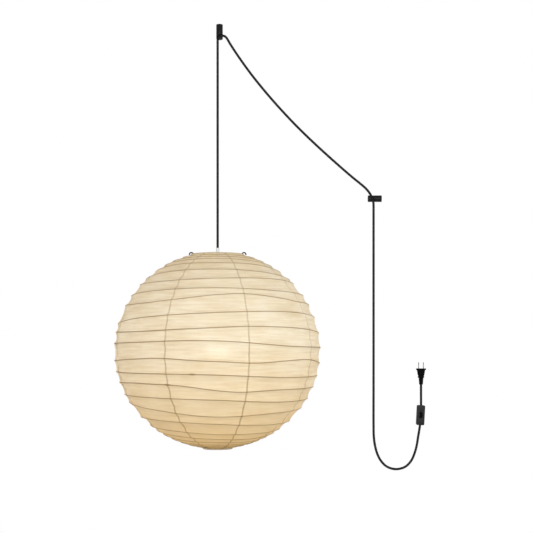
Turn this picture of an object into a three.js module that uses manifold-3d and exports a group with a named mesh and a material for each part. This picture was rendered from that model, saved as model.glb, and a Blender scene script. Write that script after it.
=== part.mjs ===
// Plug-in pendant with a ribbed paper globe, in millimetres, +Z up.
// The origin is the centre of the ceiling hook's mounting face. The cord, both hooks and the plug
// lie in the plane y = 0, and the front of the lantern faces -Y.
import * as THREE from 'three';
import { mergeVertices } from 'three/addons/utils/BufferGeometryUtils.js';
import Module from 'manifold-3d';

const wasm = await Module();
wasm.setup();

// ---- Driving dimensions ----
const GAP = 0.3; // air between pieces that touch
const CORD_R = 3.2;
const CORD_SIDES = 8;
const CORD_BEND_R = 12.9; // tightest bend: the cord over the ceiling hook's saddle

const HOOK_R = 8.75;
const CEILING_HOOK_LENGTH = 39;
const WALL_HOOK_LENGTH = 36.4;
const WALL_FACE = { x: 432.4, z: -464.3 };
const CHANNEL_HALF_WIDTH = CORD_R + GAP;
const HOOK_PLATE_R = 5.25;
const HOOK_PLATE_THICKNESS = 4.7;

const LANTERN = { x: -5, z: -871 }; // centre of the globe
const GLOBE_R = 275;
const GLOBE_UP = 265; // half height above the middle
const GLOBE_DOWN = 260; // half height below the middle
const PAPER = 0.5;
const GORES = 8;
const STEPS_PER_TURN = 24; // three facets to a gore
const FIRST_SEAM = -26; // degrees from the front, towards +X
const RIB_R = 1.3;
const RIB_INSET = 3; // rib centre below the paper's outer face
const RING_WIRE_R = 1.25;
const TOP_RING = { r: 70, z: 256.4 };
const BOTTOM_RING = { r: 38, z: -259.3 };
const FRAME_WIRE_R = 1.5;
const GRIP_TOP = 275;
const GRIP_STEM_R = 5;
const GRIP_FLANGE_TOP = 246.2;
const CORD_BORE_R = CORD_R + GAP;

// Height of the bamboo spiral above the globe's middle, one row per turn from the top:
// at the left, front left, front, front right and right. The hand-wound pitch is uneven.
const RIB_TURNS = [
  [248, 250, 251, 250, 247],
  [238, 243, 245, 243, 237],
  [227, 235, 237.5, 235, 225],
  [211, 223, 225, 223, 209],
  [190, 203, 207, 202, 188],
  [175, 177, 182, 185, 179],
  [146, 152.5, 157, 153, 147],
  [121, 122, 139, 135, 122],
  [71, 84, 94, 99, 89],
  [51, 49, 56.5, 59, 47],
  [20, 22, 25, 12, 9],
  [-26, -21, -25, -25, -33],
  [-54, -56, -58.5, -66.5, -65],
  [-84, -81.5, -96, -97, -95],
  [-114, -117, -121, -129, -126],
  [-134, -148, -164, -157.5, -151],
  [-173, -177, -183.5, -189, -186],
  [-197, -203.5, -211.5, -212, -207],
  [-209, -219, -225.5, -227, -218],
  [-220, -232, -236, -236, -228],
  [-232, -241, -244, -243, -238],
  [-242, -247, -249, -248, -244],
  [-249, -252, -253, -252.5, -251],
  [-254, -255, -255.5, -255.5, -255],
];
// Where one bamboo strip ends and the next is spliced on: turn, and steps past the first seam.
const SPLICES = [[0, -3], [12, 1], [13, 0], [20, 2], [23, 4]];

// Route of the cord, as [x, z]. It runs on from the saddle of the ceiling hook.
const SWAG_ROUTE = [
  [30, -53.7], [48.7, -82.2], [74.9, -119.1], [99.5, -151.1], [133.9, -192.5], [162.7, -225],
  [205.5, -270.3], [248.2, -311.9], [290.9, -351.2], [333.6, -389], [355, -407.3], [376.3, -424.6],
  [389.7, -436.2], [399, -447], [405.6, -458], [409.6, -468], [411, -477], [411.2, -486], [411.2, -494],
];
const TAIL_ROUTE = [
  [411.2, -494.4], [411.2, -640], [411.2, -800], [411.2, -960], [411.2, -1068], [411.9, -1100],
  [415.9, -1127.3], [422.8, -1149.4], [433.2, -1167.1], [448.4, -1180.4], [471.4, -1186.3],
  [495.2, -1180.2], [511.2, -1164.4], [520.6, -1144], [526.4, -1123], [530, -1100.8], [533.2, -1082],
];
const SWITCH = { x: 536.5, z: -1042, lean: 3, length: 53, width: 21, depth: 17 };
const PLUG = { x: 537.9, z: -917.4 };

// The lantern swings at two pivots in the cord, just below the ceiling hook.
const SIDE_PIVOT_Z = -49;
const FRONT_PIVOT_Z = -58;
const DROP_X = LANTERN.x;

// ---- Materials ----
const material = (color, roughness, metalness) =>
  new THREE.MeshStandardMaterial({ color, roughness, metalness });
const PAPER_CREAM = material(0xf0e0bd, 0.85, 0);
const BAMBOO = material(0xb99b6b, 0.7, 0);
const HEM = material(0xcdb78c, 0.85, 0);
const BLACK_METAL = material(0x262626, 0.45, 0.6);
const STEEL = material(0x8b8b88, 0.35, 1);
const DARK_WIRE = material(0x4b4a48, 0.4, 1);
const CORD_BLACK = material(0x2a2a2a, 0.8, 0);
const MOULDED_BLACK = material(0x1f1f1f, 0.5, 0);
const ROCKER_BLACK = material(0x141414, 0.35, 0);
const NYLON = material(0xe8e8e4, 0.35, 0);
const WHITE_PLASTIC = material(0xf2f1ec, 0.45, 0);
const DIFFUSER = material(0xfbfbf8, 0.3, 0);
const BRASS = material(0xc5a252, 0.35, 1);
const NICKEL = material(0xb9b7b0, 0.3, 1);
const CIRCUIT_WHITE = material(0xe9ebe9, 0.5, 0.2);

// ---- Solids ----
const toSolid = (geometry) => {
  const bare = geometry.index ? geometry.toNonIndexed() : geometry.clone();
  bare.deleteAttribute('normal');
  bare.deleteAttribute('uv');
  const merged = mergeVertices(bare, 1e-3);
  const mesh = new wasm.Mesh({
    numProp: 3,
    vertProperties: new Float32Array(merged.attributes.position.array),
    triVerts: new Uint32Array(merged.index.array),
  });
  return new wasm.Manifold(mesh);
};

const toGeometry = (solid) => {
  const mesh = solid.getMesh();
  const geometry = new THREE.BufferGeometry();
  geometry.setAttribute('position', new THREE.BufferAttribute(mesh.vertProperties, 3));
  geometry.setIndex(new THREE.BufferAttribute(mesh.triVerts, 1));
  geometry.computeVertexNormals();
  return geometry;
};

const cut = (geometry, ...tools) =>
  toGeometry(tools.reduce((solid, tool) => solid.subtract(toSolid(tool)), toSolid(geometry)));
const join = (geometry, ...others) =>
  toGeometry(others.reduce((solid, other) => solid.add(toSolid(other)), toSolid(geometry)));
const common = (geometry, other) => toGeometry(toSolid(geometry).intersect(toSolid(other)));

// A turned piece about Z. The profile is [radius, z] pairs going up the outside.
const turned = (profile, segments = 16) => {
  const points = profile.map(([r, z]) => new THREE.Vector2(r, z));
  return new THREE.LatheGeometry(points, segments).rotateX(Math.PI / 2);
};
// A turned sleeve: the outside going up, then the inside coming down.
const sleeve = (outside, inside, segments = 16) =>
  turned([...outside, ...inside, outside[0]], segments);
const disc = (r, low, high, segments = 16) =>
  turned([[0, low], [r, low], [r, high], [0, high]], segments);
const washer = (outer, inner, low, high, segments = 16) =>
  sleeve([[outer, low], [outer, high]], [[inner, high], [inner, low]], segments);

const rodAlong = (axis, r, length, segments = 12) => {
  const rod = new THREE.CylinderGeometry(r, r, length, segments);
  if (axis === 'x') rod.rotateZ(Math.PI / 2);
  if (axis === 'z') rod.rotateX(Math.PI / 2);
  return rod;
};

const ringSection = (r, sides) => {
  const corner = (i) => {
    const angle = ((i + 0.5) / sides) * 2 * Math.PI;
    return new THREE.Vector2(r * Math.cos(angle), r * Math.sin(angle));
  };
  return new THREE.Shape(Array.from({ length: sides }, (_, i) => corner(i)));
};
const sweep = (path, r, sides, steps) =>
  new THREE.ExtrudeGeometry(ringSection(r, sides), { extrudePath: path, steps, bevelEnabled: false });

// A smooth curve that spends the same number of steps between each two of its points,
// so that close points give a fine bend and far points a plain straight.
class RouteCurve extends THREE.CatmullRomCurve3 {
  constructor(route) {
    super(route.map(([x, z]) => new THREE.Vector3(x, 0, z)), false, 'centripetal');
  }
  getUtoTmapping(u) {
    return u;
  }
}
const wire = (route, r, sides, stepsEach) =>
  sweep(new RouteCurve(route), r, sides, (route.length - 1) * stepsEach);

// A flat outline in the plane y = 0 made solid from y = back to y = back - depth.
const slab = (shape, back, depth) =>
  new THREE.ExtrudeGeometry(shape, { depth, bevelEnabled: false, curveSegments: 6 })
    .rotateX(Math.PI / 2)
    .translate(0, back, 0);

// The band that lies within halfWidth of a route.
const ribbon = (route, halfWidth) => {
  const offset = (side) => (point, i) => {
    const [x0, z0] = route[Math.max(i - 1, 0)];
    const [x1, z1] = route[Math.min(i + 1, route.length - 1)];
    const length = Math.hypot(x1 - x0, z1 - z0);
    const shift = (side * halfWidth) / length;
    return new THREE.Vector2(point[0] - (z1 - z0) * shift, point[1] + (x1 - x0) * shift);
  };
  return new THREE.Shape([...route.map(offset(1)), ...route.map(offset(-1)).reverse()]);
};

const roundedOutline = (halfWidth, halfHeight, r) => {
  const outline = new THREE.Shape();
  outline.moveTo(halfWidth, -halfHeight + r);
  outline.absarc(halfWidth - r, halfHeight - r, r, 0, Math.PI / 2);
  outline.absarc(-halfWidth + r, halfHeight - r, r, Math.PI / 2, Math.PI);
  outline.absarc(-halfWidth + r, -halfHeight + r, r, Math.PI, 1.5 * Math.PI);
  outline.absarc(halfWidth - r, -halfHeight + r, r, 1.5 * Math.PI, 2 * Math.PI);
  return outline;
};

const radians = THREE.MathUtils.degToRad;
const group = new THREE.Group();
const add = (parent, name, geometry, finish) => {
  const mesh = new THREE.Mesh(geometry, finish);
  mesh.name = name;
  parent.add(mesh);
  return mesh;
};
const subgroup = (x, y, z) => {
  const child = new THREE.Group();
  child.position.set(x, y, z);
  group.add(child);
  return child;
};

// ---- Cord hooks: a turned body, slotted from the front for the cord ----
const SADDLE = { x: DROP_X + CORD_BEND_R, z: -42 };
const saddlePoint = (degrees) => [
  SADDLE.x + CORD_BEND_R * Math.cos(radians(degrees)),
  SADDLE.z + CORD_BEND_R * Math.sin(radians(degrees)),
];
const saddleArc = [180, 158, 136, 114, 92, 70, 50, 32.5].map(saddlePoint);

const COUNTERBORE_R = HOOK_PLATE_R + GAP;
const COUNTERBORE_DEPTH = HOOK_PLATE_THICKNESS + GAP;
const GRUB_R = 1.5;
const GRUB_LENGTH = HOOK_R - COUNTERBORE_R - GAP;
const EDGE = 0.8;

const hookBody = (length, cordRoute) => {
  const body = turned([
    [0, -length], [HOOK_R - EDGE, -length], [HOOK_R, -length + EDGE], [HOOK_R, 0],
    [COUNTERBORE_R, 0], [COUNTERBORE_R, -COUNTERBORE_DEPTH], [0, -COUNTERBORE_DEPTH],
  ], 28);
  const channel = slab(ribbon(cordRoute, CHANNEL_HALF_WIDTH), CHANNEL_HALF_WIDTH, 2 * HOOK_R);
  const grubHole = rodAlong('y', GRUB_R + GAP, HOOK_R).translate(0, HOOK_R, -COUNTERBORE_DEPTH / 2);
  return cut(body, channel, grubHole);
};
const hookPlate = () => {
  const screwHole = (x) => rodAlong('z', 1.1, 20).translate(x, 0, 0);
  return cut(disc(HOOK_PLATE_R, -HOOK_PLATE_THICKNESS, 0, 24), screwHole(-3), screwHole(3));
};
const grubScrew = () => {
  const socket = new THREE.CylinderGeometry(0.8, 0.8, 2.4, 6).translate(0, GRUB_LENGTH / 2, 0);
  return cut(rodAlong('y', GRUB_R, GRUB_LENGTH), socket);
};
const addHook = (parent, name, length, cordRoute) => {
  add(parent, `${name}_body`, hookBody(length, cordRoute), BLACK_METAL);
  add(parent, `${name}_plate`, hookPlate(), STEEL);
  const grub = add(parent, `${name}_grub_screw`, grubScrew(), STEEL);
  grub.position.set(0, COUNTERBORE_R + GRUB_LENGTH / 2 + GAP / 2, -COUNTERBORE_DEPTH / 2);
};

const ceilingHook = subgroup(0, 0, 0);
const overSaddle = [[DROP_X, -60], ...saddleArc, SWAG_ROUTE[0]];
addHook(ceilingHook, 'ceiling_hook', CEILING_HOOK_LENGTH, overSaddle);

// The wall hook is turned so that its mounting face looks along +X.
const wallHook = subgroup(WALL_FACE.x, 0, WALL_FACE.z);
wallHook.rotation.y = Math.PI / 2;
const throughWallHook = SWAG_ROUTE.slice(-7).map(([x, z]) => [WALL_FACE.z - z, x - WALL_FACE.x]);
addHook(wallHook, 'wall_hook', WALL_HOOK_LENGTH, throughWallHook);

// ---- Cord ----
const cord = subgroup(0, 0, 0);
const switchEnd = (distance) => {
  const lean = radians(SWITCH.lean);
  return [SWITCH.x + distance * Math.sin(lean), SWITCH.z + distance * Math.cos(lean)];
};
const CORD_IN_SWITCH = 21;
const CORD_IN_RELIEF = 28;
const saddleStart = [DROP_X, SIDE_PIVOT_Z + CORD_R + GAP];
add(cord, 'cord_swag', wire([saddleStart, ...saddleArc, ...SWAG_ROUTE], CORD_R, CORD_SIDES, 1), CORD_BLACK);
const tailEnd = [switchEnd(-SWITCH.length / 2), switchEnd(-CORD_IN_SWITCH)];
add(cord, 'cord_tail', wire([...TAIL_ROUTE, ...tailEnd], CORD_R, CORD_SIDES, 1), CORD_BLACK);
const leadRoute = [
  switchEnd(CORD_IN_SWITCH), switchEnd(SWITCH.length / 2), [PLUG.x + 0.1, -1000], [PLUG.x, -980],
  [PLUG.x, PLUG.z - CORD_IN_RELIEF],
];
add(cord, 'cord_lead', wire(leadRoute, CORD_R, CORD_SIDES, 1), CORD_BLACK);

// The short length between the two pivots has ball ends, so that its neighbours clear it.
const ballEnd = (centreZ, sign) =>
  [0, 22.5, 45, 67.5, 90].map((degrees) => [
    CORD_R * Math.sin(radians(degrees)), centreZ + sign * CORD_R * Math.cos(radians(degrees)),
  ]);
const neckProfile = [...ballEnd(FRONT_PIVOT_Z, -1), ...ballEnd(SIDE_PIVOT_Z, 1).reverse()];
add(cord, 'cord_neck', turned(neckProfile).translate(DROP_X, 0, 0), CORD_BLACK);
const dropTop = FRONT_PIVOT_Z - CORD_R - GAP;
const dropBottom = LANTERN.z + GRIP_TOP + GAP;
add(cord, 'cord_drop', disc(CORD_R, dropBottom, dropTop, 12).translate(DROP_X, 0, 0), CORD_BLACK);

// ---- Cord grip: the wire frame's centre ring sits on its flange ----
const lantern = subgroup(LANTERN.x, 0, LANTERN.z);
const GRIP_BARREL_R = 6.5;
const GRIP_BOTTOM = 226;
const GRIP_SCREW_Z = 234;
const gripScrewHole = rodAlong('x', 1.5 + GAP, 12).translate(7, 0, GRIP_SCREW_Z);
const grip = cut(
  sleeve(
    [[GRIP_BARREL_R, GRIP_BOTTOM], [GRIP_BARREL_R, GRIP_FLANGE_TOP - 3], [10, GRIP_FLANGE_TOP - 3],
      [10, GRIP_FLANGE_TOP], [GRIP_STEM_R, GRIP_FLANGE_TOP], [GRIP_STEM_R, GRIP_TOP - 1],
      [GRIP_STEM_R - 1, GRIP_TOP]],
    [[CORD_BORE_R, GRIP_TOP], [CORD_BORE_R, GRIP_BOTTOM]],
    20,
  ),
  gripScrewHole,
);
add(lantern, 'cord_grip', grip, NYLON);
const gripScrew = join(
  rodAlong('x', 1.5, 5.5).translate(CORD_R + GAP + 2.9, 0, 0),
  rodAlong('x', 2.8, 1.8).translate(CORD_R + GAP + 6, 0, 0),
);
add(lantern, 'cord_grip_screw', gripScrew, STEEL).position.z = GRIP_SCREW_Z;

// ---- Lamp holder, hanging on the inner cord ----
const HOLDER_CAP_TOP = 124;
const INNER_CORD_END = 106;
const innerCord = disc(CORD_R, INNER_CORD_END, GRIP_TOP - GAP, 12);
add(lantern, 'cord_inner', innerCord, CORD_BLACK);
add(lantern, 'holder_cap', sleeve(
  [[19.5, 97.5], [19.5, 103], [16.5, 112], [9, 118], [7, HOLDER_CAP_TOP]],
  [[CORD_BORE_R, HOLDER_CAP_TOP], [CORD_BORE_R, 116], [14.5, 110], [17.2, 102.5], [17.2, 97.5]],
  20,
), MOULDED_BLACK);
const terminalHole = (x) => rodAlong('z', 1.9, 4).translate(x, 0, 97);
add(lantern, 'holder_core', cut(disc(16.6, 88.3, 97.2, 24), terminalHole(-9), terminalHole(9)), NYLON);
add(lantern, 'holder_skirt', washer(19.5, 17.2, 56, 97.2, 24), MOULDED_BLACK);
add(lantern, 'holder_screw_shell', washer(14.8, 14.2, 59, 88, 24), BRASS);
add(lantern, 'holder_contact', disc(4, 85.9, 88), BRASS);
for (const [side, x] of [['left', -9], ['right', 9]]) {
  const screw = join(disc(1.6, 95.6, 99, 8), disc(3, 97.6, 100, 12)).translate(x, 0, 0);
  add(lantern, `holder_terminal_screw_${side}`, screw, BRASS);
}

// ---- LED bulb, screwed up into the holder ----
const BULB = { r: 30, z: 6, wall: 1.2 };
const domeArc = (r) =>
  [0, 25, 50, 75, 90, 105].map((degrees) => [
    r * Math.sin(radians(degrees)), BULB.z - r * Math.cos(radians(degrees)),
  ]);
add(lantern, 'bulb_dome', turned([...domeArc(BULB.r), ...domeArc(BULB.r - BULB.wall).reverse()], 20), DIFFUSER);
add(lantern, 'bulb_housing', sleeve(
  [[28.9, 14.6], [26, 26], [19, 42], [14.5, 51], [13.4, 55.5]],
  [[11.5, 55.5], [12.8, 50], [17.3, 41], [24.3, 25.5], [27.2, 14.6]],
  20,
), WHITE_PLASTIC);
add(lantern, 'bulb_led_board', disc(24, 20.6, 22, 20), CIRCUIT_WHITE);
const THREAD_PITCH = 3.63;
const threadProfile = [];
for (let z = 57; z < 76; z += THREAD_PITCH) {
  threadProfile.push([12.3, z], [13.1, z + THREAD_PITCH / 2]);
}
const capOutside = [[12.3, 55.8], ...threadProfile, [11.2, 79]];
add(lantern, 'bulb_screw_cap', sleeve(capOutside, [[10.4, 79], [11.5, 55.8]], 16), NICKEL);
add(lantern, 'bulb_contact', turned([[0, 79.4], [10, 79.4], [4.5, 83.5], [3, 85.4], [0, 85.6]]), NICKEL);

// ---- Wire frame that stretches the shade ----
const ARM_ROUTE = [
  [75.4, 257.4], [74.6, 261], [70.4, 262.8], [66, 261], [64.4, 255], [63.3, 248], [61.5, 232], [58, 160],
  [50, 20], [42, -120], [34.6, -238], [34.2, -248], [35.4, -253.6], [38.4, -256],
];
for (const [side, sign] of [['left', -1], ['right', 1]]) {
  const route = ARM_ROUTE.map(([x, z]) => [sign * x, z]);
  add(lantern, `frame_arm_${side}`, wire(route, FRAME_WIRE_R, 6, 2), DARK_WIRE);
}
const CENTRE_RING_R = GRIP_STEM_R + FRAME_WIRE_R + 0.4;
const TOP_BAR_Z = GRIP_FLANGE_TOP + GAP + FRAME_WIRE_R;
const ARM_AT_TOP_BAR = 63.3;
const ARM_AT_BOTTOM_BAR = 34.2;
const BOTTOM_BAR_Z = -247;
const barHalf = (side) => {
  const inner = CENTRE_RING_R;
  const outer = ARM_AT_TOP_BAR - 2 * FRAME_WIRE_R - GAP;
  return rodAlong('x', FRAME_WIRE_R, outer - inner, 8).translate((side * (outer + inner)) / 2, 0, 0);
};
const topBar = join(new THREE.TorusGeometry(CENTRE_RING_R, FRAME_WIRE_R, 8, 20), barHalf(-1), barHalf(1));
add(lantern, 'frame_top_bar', topBar, DARK_WIRE).position.z = TOP_BAR_Z;
const bottomBarLength = 2 * (ARM_AT_BOTTOM_BAR - FRAME_WIRE_R - GAP);
add(lantern, 'frame_bottom_bar', rodAlong('x', FRAME_WIRE_R, bottomBarLength, 8), DARK_WIRE)
  .position.z = BOTTOM_BAR_Z;

// ---- Shade: rings, hems, bamboo spiral and paper gores ----
const ring = ({ r }) => new THREE.TorusGeometry(r, RING_WIRE_R, 6, 36);
add(lantern, 'shade_top_ring', ring(TOP_RING), DARK_WIRE).position.z = TOP_RING.z;
add(lantern, 'shade_bottom_ring', ring(BOTTOM_RING), DARK_WIRE).position.z = BOTTOM_RING.z;
// A paper hem round a ring, reaching past the wire below and above.
const hem = ({ r, z }, below, above) => {
  const inner = r + RING_WIRE_R + 0.4;
  return washer(inner + PAPER, inner, z - below, z + above, 2 * STEPS_PER_TURN);
};
add(lantern, 'shade_top_hem', hem(TOP_RING, 3, RING_WIRE_R), HEM);
add(lantern, 'shade_bottom_hem', hem(BOTTOM_RING, RING_WIRE_R, 3), HEM);

// Azimuth 0 is the front (-Y) and grows towards +X, seen from above.
const SEAM_TURN = FIRST_SEAM / 360;
const lowerOrUpper = (z) => (z > 0 ? GLOBE_UP : GLOBE_DOWN);
const radiusAtHeight = (z) => GLOBE_R * Math.sqrt(1 - (z / lowerOrUpper(z)) ** 2);
// The point of the globe's meridian at a height, moved inwards along its normal.
const meridianPoint = (z, inset) => {
  const half = lowerOrUpper(z);
  const r = radiusAtHeight(z);
  const normal = new THREE.Vector2(r / GLOBE_R ** 2, z / half ** 2).normalize();
  return [r - inset * normal.x, z - inset * normal.y];
};

// The spiral is even across the back, from the right of one turn to the left of the next.
const HEIGHTS_PER_TURN = 8;
const spiral = new THREE.SplineCurve(
  RIB_TURNS.flatMap((seen, i) => {
    const right = seen.at(-1);
    const nextLeft = RIB_TURNS[i + 1]?.[0] ?? right - 1;
    const hidden = [0.25, 0.5, 0.75].map((t) => right + (nextLeft - right) * t);
    return [...seen, ...hidden];
  }).map((height, i) => new THREE.Vector2(i, height)),
);
const LAST_HEIGHT = RIB_TURNS.length * HEIGHTS_PER_TURN - 1;
const spiralHeight = (turn) => spiral.getPoint((turn * HEIGHTS_PER_TURN + 2) / LAST_HEIGHT).y;

// The strips are swept facet by facet, at the azimuths of the paper's own facets.
class StripCurve extends THREE.Curve {
  constructor(from, to) {
    super();
    this.from = from;
    this.to = to;
  }
  getPoint(t, target = new THREE.Vector3()) {
    const turn = this.from + (this.to - this.from) * t;
    const [r, z] = meridianPoint(spiralHeight(turn), RIB_INSET);
    const azimuth = turn * 2 * Math.PI;
    return target.set(r * Math.sin(azimuth), -r * Math.cos(azimuth), z);
  }
  getUtoTmapping(u) {
    return u;
  }
}
const SPLICE_GAP = 0.0004; // in turns
const spliceTurns = SPLICES.map(([turn, steps]) => turn + steps / STEPS_PER_TURN + SEAM_TURN);
for (let i = 0; i < spliceTurns.length - 1; i++) {
  const [from, to] = [spliceTurns[i] + SPLICE_GAP, spliceTurns[i + 1] - SPLICE_GAP];
  const steps = Math.round((to - from) * STEPS_PER_TURN);
  add(lantern, `shade_rib_strip_${i + 1}`, sweep(new StripCurve(from, to), RIB_R, 3, steps), BAMBOO);
}

const PAPER_BANDS = 18;
const TOP_EDGE = Math.acos((TOP_RING.r + 3) / GLOBE_R);
const BOTTOM_EDGE = -Math.acos((BOTTOM_RING.r + 3) / GLOBE_R);
const meridian = (inset) =>
  Array.from({ length: PAPER_BANDS + 1 }, (_, i) => {
    const angle = BOTTOM_EDGE + ((TOP_EDGE - BOTTOM_EDGE) * i) / PAPER_BANDS;
    const half = angle > 0 ? GLOBE_UP : GLOBE_DOWN;
    return meridianPoint(half * Math.sin(angle), inset);
  });
const globeShell = sleeve(meridian(0), meridian(PAPER).reverse(), STEPS_PER_TURN);
const seamAngle = radians(FIRST_SEAM - 90); // of the first seam, anticlockwise from +X
globeShell.rotateZ(radians(FIRST_SEAM)); // a facet edge on each seam
const goreWedge = (index) => {
  const angle = (2 * Math.PI) / GORES;
  const middle = seamAngle + (index + 0.5) * angle;
  const far = GLOBE_R * 1.3;
  const apex = GAP / 2 / Math.sin(angle / 2);
  const corner = (turnBy) => [
    apex * Math.cos(middle) + far * Math.cos(middle + turnBy),
    apex * Math.sin(middle) + far * Math.sin(middle + turnBy),
  ];
  const points = [[apex * Math.cos(middle), apex * Math.sin(middle)], corner(-angle / 2), corner(angle / 2)];
  const shape = new THREE.Shape(points.map(([x, y]) => new THREE.Vector2(x, y)));
  const depth = 3 * GLOBE_R;
  return new THREE.ExtrudeGeometry(shape, { depth, bevelEnabled: false }).translate(0, 0, -depth / 2);
};
for (let i = 0; i < GORES; i++) {
  add(lantern, `shade_gore_${i + 1}`, common(globeShell, goreWedge(i)), PAPER_CREAM);
}

// ---- Inline rocker switch ----
const inlineSwitch = subgroup(SWITCH.x, 0, SWITCH.z);
inlineSwitch.rotation.y = radians(SWITCH.lean);
const CASE_WALL = 2.2;
const CASE_ROUND = 1.6;
const CASE_CORNER = 3.4;
const ROCKER = { halfWidth: 4, halfLength: 7.4, tilt: 6, pivotY: -6.3, front: -10.6, back: -4.6 };
const PARTING_GAP = GAP / 2;

// One half of the case, filling from the parting plane to the flat front or back.
const caseHalf = (sign) => {
  const halfDepth = SWITCH.depth / 2 - PARTING_GAP;
  const outline = roundedOutline(
    SWITCH.width / 2 - CASE_ROUND, SWITCH.length / 2 - CASE_ROUND, CASE_CORNER - CASE_ROUND,
  );
  const shell = new THREE.ExtrudeGeometry(outline, {
    depth: halfDepth - CASE_ROUND, curveSegments: 4, bevelEnabled: true,
    bevelThickness: CASE_ROUND, bevelSize: CASE_ROUND, bevelSegments: 2,
  });
  // The bevel on the parting side is cut off, leaving a plain edge there.
  const parting = new THREE.BoxGeometry(60, 80, 20).translate(0, 0, -10 + PARTING_GAP);
  const cavityDepth = halfDepth + PARTING_GAP - CASE_WALL;
  const cavity = new THREE.BoxGeometry(SWITCH.width - 2 * CASE_WALL, 2 * 17, 2 * cavityDepth);
  const entry = new THREE.CylinderGeometry(CORD_BORE_R + 0.1, CORD_BORE_R + 0.1, 80, 12);
  const half = cut(shell.translate(0, 0, PARTING_GAP), parting, cavity, entry);
  return sign > 0 ? half.rotateX(-Math.PI / 2) : half.rotateX(Math.PI / 2);
};
const CASE_SCREW_Z = 21;
const CASE_SCREW_X = 6.8;
const screwPosition = { upper: CASE_SCREW_Z, lower: -CASE_SCREW_Z };
const screwHoles = Object.values(screwPosition).flatMap((z) => [
  rodAlong('y', 1.2 + GAP, 9).translate(CASE_SCREW_X, 4.3, z),
  rodAlong('y', 2.1 + GAP, 3).translate(CASE_SCREW_X, SWITCH.depth / 2, z),
]);
const pilotHoles = Object.values(screwPosition).map((z) =>
  rodAlong('y', 1.2 + GAP, 7).translate(CASE_SCREW_X, -1, z));
const ellipse = (halfWidth, halfLength) =>
  new THREE.Shape().absellipse(0, 0, halfWidth, halfLength, 0, 2 * Math.PI);
const rockerWindow = slab(ellipse(ROCKER.halfWidth + 0.7, ROCKER.halfLength + 0.8), 0, 20);
const pinPocket = rodAlong('x', 0.9 + GAP, 12.6, 8).translate(0, ROCKER.pivotY, 0);
add(inlineSwitch, 'switch_case_front', cut(caseHalf(-1), rockerWindow, pinPocket, ...pilotHoles), MOULDED_BLACK);
add(inlineSwitch, 'switch_case_back', cut(caseHalf(1), ...screwHoles), MOULDED_BLACK);
const rockerBody = slab(
  ellipse(ROCKER.halfWidth, ROCKER.halfLength), ROCKER.back - ROCKER.pivotY, ROCKER.back - ROCKER.front,
);
const rocker = add(inlineSwitch, 'switch_rocker', cut(rockerBody, rodAlong('x', 0.9 + GAP, 12, 8)), ROCKER_BLACK);
rocker.position.y = ROCKER.pivotY;
rocker.rotation.x = radians(ROCKER.tilt);
add(inlineSwitch, 'switch_pin', rodAlong('x', 0.9, 12, 8).translate(0, ROCKER.pivotY, 0), STEEL);
for (const [side, sign] of [['upper', 1], ['lower', -1]]) {
  const contact = new THREE.BoxGeometry(5, 1, 5).translate(0, 4.5, sign * 12.5);
  add(inlineSwitch, `switch_contact_${side}`, contact, BRASS);
  const headY = SWITCH.depth / 2 - 0.9;
  const screw = join(
    rodAlong('y', 1.2, 8).translate(0, headY - 4, 0), rodAlong('y', 2.1, 1.2).translate(0, headY, 0),
  ).translate(CASE_SCREW_X, 0, screwPosition[side]);
  add(inlineSwitch, `switch_screw_${side}`, screw, STEEL);
}

// ---- Two-pin plug, blades up ----
const plug = subgroup(PLUG.x, 0, PLUG.z);
const BLADE = { spacing: 12.7, thickness: 1.5, width: 6.35, length: 16.3, root: 8 };
const PLUG_FLATNESS = 0.62;
const plugProfile = [
  [0, -25.4], [6.8, -25.4], [8.2, -24.2], [9, -22.4], [7.6, -20.8], [7.6, -19.6], [9, -17.6], [9.9, -11],
  [11.2, -4.4], [13.3, -4], [13.3, 0], [0, 0],
];
const plugBlock = turned(plugProfile, 20).scale(1, PLUG_FLATNESS, 1);
const bladeSlot = (side) =>
  new THREE.BoxGeometry(BLADE.thickness + 2 * GAP, BLADE.width + 2 * GAP, 2 * (BLADE.root + GAP))
    .translate((side * BLADE.spacing) / 2, 0, 0);
add(plug, 'plug_body', cut(plugBlock, bladeSlot(-1), bladeSlot(1)), MOULDED_BLACK);
const reliefOutside = [[4.2, -43], [5, -42.3], [5.3, -40.5], [6.3, -27.4], [5.9, -25.7]];
const reliefInside = [[CORD_BORE_R, -25.7], [CORD_BORE_R, -43]];
add(plug, 'plug_strain_relief', sleeve(reliefOutside, reliefInside), MOULDED_BLACK);
const bladeShape = () => {
  const half = BLADE.width / 2;
  const tip = BLADE.length;
  const shape = new THREE.Shape(
    [[-half, -BLADE.root], [half, -BLADE.root], [half, tip - 2], [half - 1.2, tip], [1.2 - half, tip],
      [-half, tip - 2]].map(([y, z]) => new THREE.Vector2(y, z)),
  );
  shape.holes.push(new THREE.Path().absarc(0, tip - 4.7, 1.5, 0, 2 * Math.PI));
  return shape;
};
for (const [side, sign] of [['left', -1], ['right', 1]]) {
  const blade = new THREE.ExtrudeGeometry(bladeShape(), {
    depth: BLADE.thickness, bevelEnabled: false, curveSegments: 5,
  }).rotateX(Math.PI / 2).rotateZ(Math.PI / 2);
  add(plug, `plug_blade_${side}`, blade, NICKEL)
    .position.x = (sign * BLADE.spacing) / 2 - BLADE.thickness / 2;
}

export default group;
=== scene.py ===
"""The looks of a plug-in paper lantern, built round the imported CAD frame. Metres, +Z up, front -Y."""
import math

import bmesh
import bpy
from mathutils import Matrix, Vector, noise


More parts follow.
